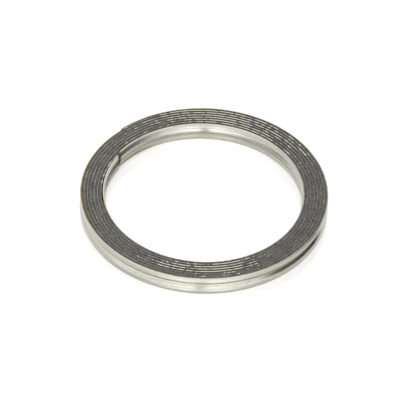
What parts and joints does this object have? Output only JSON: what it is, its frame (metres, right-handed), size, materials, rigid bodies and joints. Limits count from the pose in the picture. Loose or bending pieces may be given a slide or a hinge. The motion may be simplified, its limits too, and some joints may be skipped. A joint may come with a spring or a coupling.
{
  "type": "exhaust sealing ring",
  "caption": "Flat wound sealing ring for an exhaust joint: a vee-formed stainless strip coiled with a graphite tape between its turns, crushed between port and pipe flange.",
  "frame": {"origin": "centre of the ring's bore, on the lower sealing face", "axes": "+Z along the bore, towards the upper sealing face; +X to the right and +Y to the back of the view in the picture"},
  "size_m": [0.0448, 0.0449, 0.0036],
  "materials": {
    "stainless_strip": "bright rolled stainless, light straw tint at the edges",
    "graphite": "pressed flake graphite, matt with dark pits"
  },
  "bodies": {
    "root": {"steel_strip": "stainless_strip", "graphite_filler": "graphite"}
  },
  "joints": []
}
